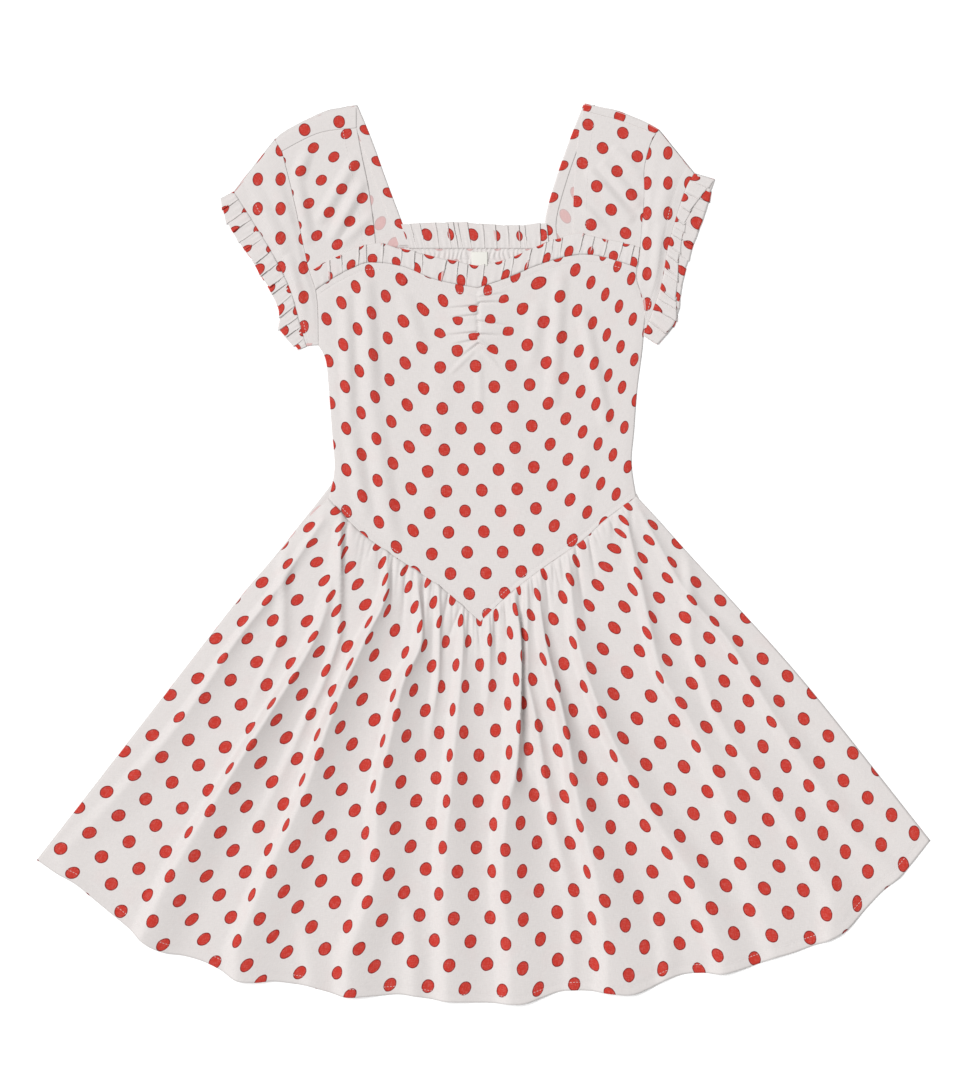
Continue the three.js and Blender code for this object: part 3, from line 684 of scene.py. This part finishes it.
def front_bodice_form(u, v):
    left = joined(ARM_LEFT_BODICE, SIDE_LEFT)
    right = joined(ARM_RIGHT_BODICE, SIDE_RIGHT)
    flat = between(NECKLINE, WAIST, left, right)(u, v)
    x, y = flat[..., 0], flat[..., 1]
    from_neck = y_of(NECKLINE, x) - y
    from_waist = y - y_of(WAIST, x)
    free = smooth_step(from_neck / 14) * smooth_step(from_waist / 30)
    height = FRONT + 0.15 + crease_height(x, y, BODICE_CREASES) * free
    height = height + 0.3 * drift(x, y, size=70, seed=12) * free
    height = height + CENTRE_SWELL * bell(x - CENTRE_LINE, 32) * bell(y - 226, 32) * free
    cut_y = y - BODICE_DOT_AT[1]
    turned = 0 * x
    for start, end, run in CENTRE_FOLDS:
        out = (x - CENTRE_LINE) / run
        along = np.clip(1 - out, 0, 1) ** 0.8 * (out >= 0)
        above = y - start - (end - start) * np.clip(out, 0, 1)
        section = hump(above - 2.2, 2.2, 6) - bell(above, 1.0, 1.3)
        height = height + CENTRE_FOLD_HEIGHT * along * section
        away = np.clip((out * abs(run) - 4) / CENTRE_REACH, 0, 1)
        hides = (1 - smooth_step(away)) * (out >= 0)
        cut_y = cut_y + CENTRE_TAKES * hides * smooth_step(above / 3.4 + 0.5)
        pull = 6 * away * (1 - away) / CENTRE_REACH * (out >= 0)
        turned = turned + np.sign(run) * 0.3 * CENTRE_TAKES * pull * np.maximum(above, 0)
    line = bell(x - CENTRE_LINE, 1.4, 1.4) * hump(y - CENTRE_MIDDLE, CENTRE_HALF, CENTRE_HALF)
    height = height - CENTRE_DEPTH * line + 0.25 * bell(from_waist, 2.2)
    for away, row in ((from_waist, TOPSTITCH["waist"]), (from_neck, TOPSTITCH["neck"])):
        height = height - TOPSTITCH["depth"] * bell(away - row, TOPSTITCH["width"])
    height = np.maximum(height, EDGE + 0.35)
    inset = np.minimum(u, 1 - u) * BODICE_WIDTH
    height = EDGE + (height - EDGE) * rolled(inset, BODICE_ROLL)
    lift = np.interp(x, BODICE_SHIFT[:, 0], BODICE_SHIFT[:, 1])
    across = np.interp(x, BODICE_SHIFT[:, 0], BODICE_SHIFT[:, 2])
    upper = np.clip(y / 140, 0, 1)
    cut_x = x - BODICE_DOT_AT[0] + BODICE_SKEW * (y - BODICE_DOT_AT[1])
    cut_x = cut_x + across * (0.35 + 0.65 * upper) + turned
    return np.stack([x, y, height], -1), np.stack([cut_x, cut_y - lift], -1)


bodice_rows = graded((0.3, 110), (0.95, 80), (1, 12))
front_bodice = make_cloth(
    "front_bodice_panel", "front_bodice", 224, bodice_rows, front_bodice_form, right_side_up
)
neck_line = line_across("front_bodice_panel", bodice_rows, 0.025)
waist_line = line_across("front_bodice_panel", bodice_rows, 0.979)
neck_stitches = stitch_along("neckline_stitches", neck_line[3:-3])
waist_stitches = stitch_along("waist_stitches", waist_line[3:-3])


# The neck frills: gathered strips whose little pleats are pressed flat like pages. The front one
# lies along the neckline on the shoulder panels, and the back one along the elastic.

# Each page's share of the mean width, of the frill's height and of its tuck, and how far its free
# edge strays, are random in these ranges.
PAGE_WIDTHS = (0.55, 1.45)
PAGE_RISES = (0.3, 1.25)
PAGE_TUCKS = (0.75, 1.15)
PAGE_DIPS = (-1.7, 1.3)
PAGE_CREST = 0.7  # where on a page its fold lies


def frill_form(root, free, pages, seed, base, height, tuck=0.58, shift=(0, 0), wander=1.0):
    """A gathered strip, sewn along root. Each page runs up to a crisp fold and turns back under
    itself. shift is the root's start on the cut, and wander scales how far the free edge strays."""
    rng = np.random.default_rng(seed)
    widths = rng.uniform(*PAGE_WIDTHS, pages)
    bounds = np.concatenate([[0], np.cumsum(widths)]) / widths.sum()
    rises = rng.uniform(*PAGE_RISES, pages)
    reaches = rng.uniform(*PAGE_TUCKS, pages)
    dips = wander * rng.uniform(*PAGE_DIPS, pages)
    crest = PAGE_CREST
    back = abs(tuck / (1 - crest) - 1)
    fullness = crest + tuck + back * (1 - crest)
    drop = float(np.linalg.norm(free(0.5) - root(0.5)))

    def form(u, v):
        page = np.clip(np.searchsorted(bounds, u, side="right") - 1, 0, pages - 1)
        width = bounds[page + 1] - bounds[page]
        s = np.clip((u - bounds[page]) / width, 0, 1)
        ramp = np.where(s < crest, s / crest, (1 - s) / (1 - crest))
        over = s + tuck * reaches[page] * (0.5 + 0.5 * v) * ramp
        run = np.where(s < crest, s * (1 + tuck / crest), fullness - (1 - s) * back) / fullness
        at = np.clip(bounds[page] + width * over, 0, 1)
        outward = free(at) - root(at)
        flat = root(at) + outward * v[..., None]
        outward = outward / np.linalg.norm(outward, axis=-1, keepdims=True)
        flat = flat + outward * (dips[page] * ramp**2 * v)[..., None]
        rise = height * rises[page] * smooth_step(ramp) ** 0.7 * (0.3 + 0.7 * v)
        small = 0.25 * (1 + np.sin(s * 2 * np.pi * 3)) * (1 - v) ** 1.5
        lift = base[0] + (base[1] - base[0]) * smooth_step(v / 0.07)
        along = (bounds[page] + width * run) * root.reach * fullness
        place = np.dstack([flat, lift + rise + small * np.clip(v * 8, 0, 1)])
        return place, np.stack([along + shift[0], -v * drop + shift[1]], -1)

    return form


FRILL_TOP_LEFT = edge((-169, 277), (-138, 294), (-105, 304), (-80, 299), (-46, 291), (-6, 282))
FRILL_TOP_RIGHT = edge((-6, 282), (21, 288), (55, 302), (88, 313), (121, 308), (152, 300))
FRILL_TOP = joined(FRILL_TOP_LEFT, FRILL_TOP_RIGHT, 0.5)

neck_frill_form = frill_form(
    moved(NECKLINE, 0, -0.5), FRILL_TOP, pages=24, seed=21, base=(FRONT, FRONT + 0.8), height=1.35,
    shift=(9, 4),
)
neck_frill = make_cloth(
    "front_neck_ruffle", "front_neck_frill", 700, 14, neck_frill_form, right_side_up
)

back_root = edge((-72.5, 299), (0, 299), (64, 299))
back_free = edge((-80.5, 323), (-35, 325), (0, 323.5), (30, 322), (61, 324))
back_frill_form = frill_form(
    back_root, back_free, pages=14, seed=35, base=(1.35, 1.25), height=1.2, shift=(4, 14)
)
back_frill = make_cloth("back_neck_ruffle", "back_neck_frill", 360, 14, back_frill_form, right_side_up)


# The shoulder panels: each front one runs from the yoke seam to the neckline, under the frill. Each
# back one folds forward over the shoulder to the yoke seam, and its turned hem shows at the neck.

YOKE_LEFT = edge((-197, 394.4), (-161, 412), (-124, 417))
YOKE_RIGHT = edge((97, 434), (131, 425), (168.5, 411.5))
STRAP_NECK_LEFT = edge((-124, 417), (-119, 390), (-112, 356), (-107, 320), (-104, 287))
STRAP_NECK_RIGHT = edge((97, 434), (91, 395), (88, 350), (88, 320), (89, 294))
FOLD_LEFT = edge((-204, 406), (-195, 413.5), (-176, 424), (-154, 434), (-140, 437), (-124, 440))
FOLD_RIGHT = edge((99, 441), (117, 437), (131, 434), (156, 424), (171.5, 415.5))
LEFT_STRAP_CREASES = [
    (-172, 398, -182, 365, 10, 2.6), (-182, 365, -172, 310, 10, 2.6), (-128, 382, -158, 330, 9, 2.8),
    (-120, 360, -146, 312, 9, 3.4), (-112, 330, -140, 300, 8, 2.0),
]
RIGHT_STRAP_CREASES = [
    (105, 372, 142, 330, 9, 2.8), (118, 380, 150, 345, 8, 2.0), (96, 340, 118, 318, 8, 2.0),
    (130, 395, 152, 372, 8, 1.6),
]
YOKE_TUCK = 0.55  # how far the front panel's top edge goes down at the yoke seam
YOKE_GAP = 0.9  # how far it reaches past the seam
FRILL_COVER = 0.6  # how far its lower edge lies above the neckline


def part(whole, start, end):
    """The stretch of a line between two fractions of its length."""
    read = lambda f: whole(start + (end - start) * np.asarray(f, float))
    read.reach = whole.reach * abs(end - start)
    return read


def share_at(line, x):
    """The fraction of a line's length at which it passes this x."""
    f = np.linspace(0, 1, 900)
    return np.interp(x, line(f)[:, 0], f)


def skewed_chart(x, y, across, up, at):
    """Places on the cut for cloth that is pulled askew: its threads' directions and one dot's place."""
    dx, dy = x - at[0], y - at[1]
    return np.stack([across[0] * dx + across[1] * dy, up[0] * dx + up[1] * dy], -1)


def front_strap(name, node, yoke, left, right, hem, creases, across, up, at):
    def form(u, v):
        flat = between(yoke, hem, left, right)(u, v)
        x, y = flat[..., 0], flat[..., 1]
        free = smooth_step(6 * v) * smooth_step((0.92 - v) * 5)
        height = FRONT + crease_height(x, y, creases) * free
        height = height + 0.25 * drift(x, y, size=45, seed=31) * free
        height = height - YOKE_TUCK * (1 - smooth_step(v / 0.02))
        return np.dstack([flat, height]), skewed_chart(x, y, across, up, at)

    return make_cloth(name, node, 90, 130, form, right_side_up)


left_hem_line = moved(part(NECK_LEFT, 0, share_at(NECK_LEFT, -104)), 0, FRILL_COVER)
right_hem_line = moved(part(NECK_RIGHT, share_at(NECK_RIGHT, 89), 1), 0, FRILL_COVER)
left_front_strap = front_strap(
    "left_shoulder_panel", "left_front_strap", moved(YOKE_LEFT, 0, YOKE_GAP),
    joined(ARM_LEFT_SHOULDER, ARM_LEFT_FRILL), STRAP_NECK_LEFT, left_hem_line, LEFT_STRAP_CREASES,
    across=(0.97, 0.24), up=(-0.50, 1.16), at=(-150.6, 334.5),
)
right_front_strap = front_strap(
    "right_shoulder_panel", "right_front_strap", moved(YOKE_RIGHT, 0, YOKE_GAP), STRAP_NECK_RIGHT,
    joined(ARM_RIGHT_SHOULDER, ARM_RIGHT_FRILL), right_hem_line, RIGHT_STRAP_CREASES,
    across=(0.985, -0.15), up=(0.25, 1.04), at=(110.5, 359.9),
)


def back_strap(name, node, yoke, fold, left, right, bottom, turn, at):
    """A back shoulder panel, from the yoke seam over the fold and down the back."""
    over = 0.16  # fraction of the panel that shows on the front
    upper = FRONT + 0.1
    grain = math.radians(turn)
    across = (math.cos(grain), math.sin(grain))
    up = (-math.sin(grain), math.cos(grain))

    def form(u, v):
        front = yoke(u) + (fold(u) - yoke(u)) * np.clip(v / over, 0, 1)[..., None]
        down = np.clip((v - over) / (1 - over), 0, 1)
        low = between(fold, bottom, left, right)(u, down)
        flat = np.where((v < over)[..., None], front, low)
        turn_over = smooth_step((v - over * 0.55) / (over * 0.9))
        height = upper + (BACK - upper) * turn_over
        beyond = np.linalg.norm(low - fold(u), axis=-1)
        unfolded = np.where(v < over, flat[..., 1], fold(u)[..., 1] + beyond)
        return np.dstack([flat, height]), skewed_chart(flat[..., 0], unfolded, across, up, at)

    return make_cloth(name, node, 60, graded((0.3, 40), (1, 40)), form, right_side_up)


BACK_NECK_LEFT = edge((-123.5, 440), (-109, 405), (-95, 366), (-80, 326), (-71, 300.6))
BACK_NECK_RIGHT = edge((98, 441), (84, 405), (70, 365), (60, 326), (63, 300.6))
left_back_strap = back_strap(
    "left_back_shoulder_panel", "left_back_strap", YOKE_LEFT, FOLD_LEFT,
    joined(ARM_LEFT_YOKE, ARM_LEFT_SHOULDER), BACK_NECK_LEFT,
    edge((-175.5, 299.9), (-120, 299.9), (-71, 299.9)), turn=13, at=(-141, 423),
)
right_back_strap = back_strap(
    "right_back_shoulder_panel", "right_back_strap", YOKE_RIGHT, FOLD_RIGHT, BACK_NECK_RIGHT,
    joined(ARM_RIGHT_YOKE, ARM_RIGHT_SHOULDER),
    edge((63, 299.9), (110, 299.9), (153, 299.9)), turn=-17, at=(133, 428),
)


def turned_hem(name, neck_edge, width, first_dot):
    """The back shoulder panel's hem, turned in along the neck edge with its printed side up."""
    inner = moved(neck_edge, width, 0)
    first, second = (inner, neck_edge) if width < 0 else (neck_edge, inner)

    def form(u, v):
        flat = first(v) * (1 - u[..., None]) + second(v) * u[..., None]
        from_fold = (1 - u if width < 0 else u) * abs(width)
        height = BACK + WALL + 0.55 * smooth_step(from_fold / 1.2)
        along = v * neck_edge.reach - first_dot
        return np.dstack([flat, height]), np.stack([along * 1.06, from_fold - 1.5], -1)

    return make_cloth(name, None, 12, np.linspace(0.01, 0.99, 91), form, right_side_up)


left_neck_hem = turned_hem("left_neck_hem", BACK_NECK_LEFT, width=-11, first_dot=27)
right_neck_hem = turned_hem("right_neck_hem", BACK_NECK_RIGHT, width=11, first_dot=65)

# A row of stitches runs down each front panel, beside its neck edge: its column in the panel.
for piece, under, column in (
    (left_front_strap, left_back_strap, 74), (right_front_strap, right_back_strap, 16),
):
    side = piece.name.split("_")[0]
    strap_stitches = stitch_along(side + "_strap_stitches", places[piece.name][column, 2:-20])


# The sleeves: short cotton caps, flat tubes whose front and back layers meet at the shoulder fold
# and under the arm. A narrow stitched band ends each.

CUFF_LEFT = edge((-244, 355), (-214, 308), (-199, 281), (-188, 257), (-179, 225), (-173, 204))
CUFF_RIGHT = edge((206, 373), (198, 359), (190, 336), (180, 300), (173, 262), (156, 214))
ARM_LEFT = joined(joined(joined(ARM_LEFT_YOKE, ARM_LEFT_SHOULDER), ARM_LEFT_FRILL), ARM_LEFT_BODICE)
ARM_RIGHT = joined(joined(joined(ARM_RIGHT_YOKE, ARM_RIGHT_SHOULDER), ARM_RIGHT_FRILL), ARM_RIGHT_BODICE)
LEFT_SLEEVE_CREASES = [
    (-228, 362, -196, 300, 12, 2.2), (-214, 380, -190, 330, 12, 1.6), (-190, 290, -176, 236, 8, 1.6),
]
RIGHT_SLEEVE_CREASES = [(184, 380, 172, 330, 10, 1.8), (172, 320, 166, 262, 8, 1.6)]
SLEEVE_PUFF = 1.2  # how far the front layer stands up
SLEEVE_DROP = 36  # from the armhole to the cuff
BAND = 7  # from the band's stitches to the cuff
FOLD_TO_UNDERARM = 150
SLEEVE_ROLL = 5  # width of the rounded edge at either end


def around(u):
    """Up the front layer from the underarm and back down under it: the fraction from shoulder to
    underarm, and whether this is the front layer."""
    return np.abs(1 - 2 * u), (u < 0.5)


def bias_chart(x, y, step, at):
    """Places on a cut whose grain runs at 45 degrees, from the steps between dots and where one is."""
    across, down = (x - at[0]) / step[0], (y - at[1]) / step[1]
    chart = [(across + down) * BODICE_REPEAT[0] / 2, (across - down) * BODICE_REPEAT[1] / 2]
    return np.stack(chart, -1)


def sleeve(name, node, arm, cuff, creases, step, at):
    def form(u, v):
        f, front = around(u)
        flat = arm(f) * (1 - v[..., None]) + cuff(f) * v[..., None]
        x, y = flat[..., 0], flat[..., 1]
        free = np.sin(np.pi * f) * smooth_step(4 * v) * smooth_step(4 * (1 - v))
        band = 0.25 * bell((1 - v) * SLEEVE_DROP - BAND, 1.4)
        upper = FRONT + free * (SLEEVE_PUFF + crease_height(x, y, creases)) - band
        # The back layer lies one thickness higher in the corner under the arm, where it turns under.
        lower = BACK + WALL * smooth_step((f - 0.84) / 0.08)
        round_off = rolled(np.minimum(f, 1 - f) * FOLD_TO_UNDERARM, SLEEVE_ROLL)
        height = EDGE + (np.where(front, upper, lower) - EDGE) * round_off
        chart = bias_chart(x, y, step, at)
        # The back layer's cut is the front's, mirrored about its shoulder end.
        ends = [chart[np.argmin(np.abs(f[:, 0] - end))].mean(axis=0) for end in (0, 1)]
        axis = (ends[1] - ends[0]) / np.linalg.norm(ends[1] - ends[0])
        far = chart @ axis
        chart = np.where(front[..., None], chart, chart + 2 * (far.min() - far)[..., None] * axis)
        return np.dstack([flat, height]), chart

    return make_cloth(name, node, 240, 60, form, right_side_up)


left_sleeve = sleeve(
    "left_sleeve_cap", "left_sleeve", ARM_LEFT, CUFF_LEFT, LEFT_SLEEVE_CREASES,
    step=(22.4, 28.8), at=(-198, 338),
)
right_sleeve = sleeve(
    "right_sleeve_cap", "right_sleeve", ARM_RIGHT, CUFF_RIGHT, RIGHT_SLEEVE_CREASES,
    step=(20.5, 29.5), at=(159.5, 363),
)
for piece in (left_sleeve, right_sleeve):
    band_stitches = stitch_along(piece.name + "_stitches", places[piece.name][4:116, 48])


# The cuff frills: a gathered cotton strip round the end of each sleeve, sewn to its band, with the
# same pages as the neck frills on the front and flatter ones on the table.

CUFF_BACK_MOST = 0.6  # how far the back layer's pages may stand up
CUFF_ROLL = 3  # width of the rounded edge at either end


def cuff_frill(name, node, root, free_front, free_back, pages, seed, shift):
    front_form = frill_form(
        root, free_front, pages, seed, (FRONT, FRONT), height=1.7, shift=shift, wander=1.7
    )
    low = BACK + WALL
    back_form = frill_form(
        root, free_back, pages, seed + 2, (low, low), height=0.8, tuck=0.5, shift=shift
    )

    def form(u, v):
        f, front = around(u)
        near, near_cut = front_form(f, v)
        far, far_cut = back_form(f, v)
        far[..., 2] = np.minimum(far[..., 2], low + CUFF_BACK_MOST)
        place = np.where(front[..., None], near, far)
        round_off = rolled(np.minimum(f, 1 - f) * FOLD_TO_UNDERARM, CUFF_ROLL)
        place[..., 2] = EDGE + (place[..., 2] - EDGE) * round_off
        return place, np.where(front[..., None], near_cut, [[-1, 1]] * far_cut)

    return make_cloth(name, node, 760, 12, form, (bodice_cotton, bodice_cotton))


HEM_LEFT = edge((-257, 348), (-248, 321), (-219, 276), (-200, 240), (-198, 218), (-180, 201))
HEM_RIGHT_FRONT = edge((226, 367), (203, 336), (192, 300), (189, 262), (187, 228), (170, 206))
HEM_RIGHT_BACK = edge((226, 367), (216, 332), (202, 294), (194, 262), (188, 228), (170, 206))
left_cuff = cuff_frill(
    "left_cuff_ruffle", "left_cuff_frill", CUFF_LEFT, HEM_LEFT, HEM_LEFT,
    pages=15, seed=61, shift=(3, -2),
)
right_cuff = cuff_frill(
    "right_cuff_ruffle", "right_cuff_frill", CUFF_RIGHT, HEM_RIGHT_FRONT, HEM_RIGHT_BACK,
    pages=15, seed=71, shift=(12, 19),
)


# The neck label: a short woven tape, left blank, sewn inside the back neck by its top edge.

LABEL = {"left": -12, "right": 4, "low": 282, "high": 296, "height": 2.3}
TAPE_DARK = (0.80, 0.78, 0.72, 1)
TAPE_LIGHT = (0.86, 0.85, 0.80, 1)

tape, tape_tree, tape_shader = new_material("label_tape")
tape_chart = add_node(tape_tree, "ShaderNodeUVMap", uv_map="cloth").outputs[0]
rib_inputs = {"Vector": tape_chart, "Scale": 700.0, "Distortion": 0.4}
ribs = add_node(tape_tree, "ShaderNodeTexWave", rib_inputs, bands_direction="Y").outputs["Fac"]
tape_colour = mixed(tape_tree, ribs, TAPE_DARK, TAPE_LIGHT)
tape_tree.links.new(tape_colour, tape_shader.inputs["Base Color"])
tape_bump = add_node(tape_tree, "ShaderNodeBump", {"Height": ribs, "Strength": 0.4, "Distance": 0.0001})
tape_tree.links.new(tape_bump.outputs[0], tape_shader.inputs["Normal"])
tape_shader.inputs["Roughness"].default_value = 0.45


def label_form(u, v):
    x = LABEL["left"] + (LABEL["right"] - LABEL["left"]) * u
    y = LABEL["high"] + (LABEL["low"] - LABEL["high"]) * v
    height = LABEL["height"] + 0.35 * np.sin(np.pi * v) + 0.15 * np.sin(np.pi * u)
    return np.stack([x, y, height], -1), np.stack([x, y], -1)


label = make_cloth("blank_neck_label", "neck_label", 16, 14, label_form, (tape, tape))


# The table: a plain pale surface under the dress.

table_grid = bmesh.new()
bmesh.ops.create_grid(table_grid, x_segments=1, y_segments=1, size=6)
floor_mesh = mesh_from("floor", table_grid)
floor = add_object("floor", floor_mesh)
paper, _, paper_shader = new_material("white_table")
paper_shader.inputs["Base Color"].default_value = (0.96, 0.96, 0.96, 1)
paper_shader.inputs["Roughness"].default_value = 0.9
paper_shader.inputs["Specular IOR Level"].default_value = 0.1
paper_shader.inputs["Emission Color"].default_value = (1, 1, 1, 1)
paper_shader.inputs["Emission Strength"].default_value = 0.12
floor_mesh.materials.append(paper)


# The light: a white studio with one broad, soft light from the upper left.

LIGHT_FROM = (-0.44, 0.17, 0.88)

world = bpy.data.worlds.new("studio")
bpy.context.scene.world = world
world.use_nodes = True
world.node_tree.nodes["Background"].inputs["Color"].default_value = (1, 1, 1, 1)
world.node_tree.nodes["Background"].inputs["Strength"].default_value = 0.33

key = bpy.data.lights.new("key", "SUN")
key.energy = 2.52
key.angle = math.radians(30)
key_light = add_object("key", key)
key_light.rotation_euler = Vector(LIGHT_FROM).to_track_quat("Z", "Y").to_euler()


# The camera: straight above the dress, as in the photograph.

VIEW_CENTRE = (-1.5, 11.7)  # where the picture's middle falls on the table
VIEW_HEIGHT = 1059.0  # of the whole picture
CLOTH_TOP = 5  # height at which the picture has that size
LENS = 100.0
SENSOR = 36.0
camera_data = bpy.data.cameras.new("camera")
camera_data.sensor_fit = "VERTICAL"
camera_data.sensor_height = SENSOR
camera_data.lens = LENS
camera = add_object("camera", camera_data)
distance = VIEW_HEIGHT * LENS / SENSOR
camera.location = (VIEW_CENTRE[0] * MM, VIEW_CENTRE[1] * MM, (distance + CLOTH_TOP) * MM)
bpy.context.scene.camera = camera
bpy.context.scene.view_settings.view_transform = "Standard"
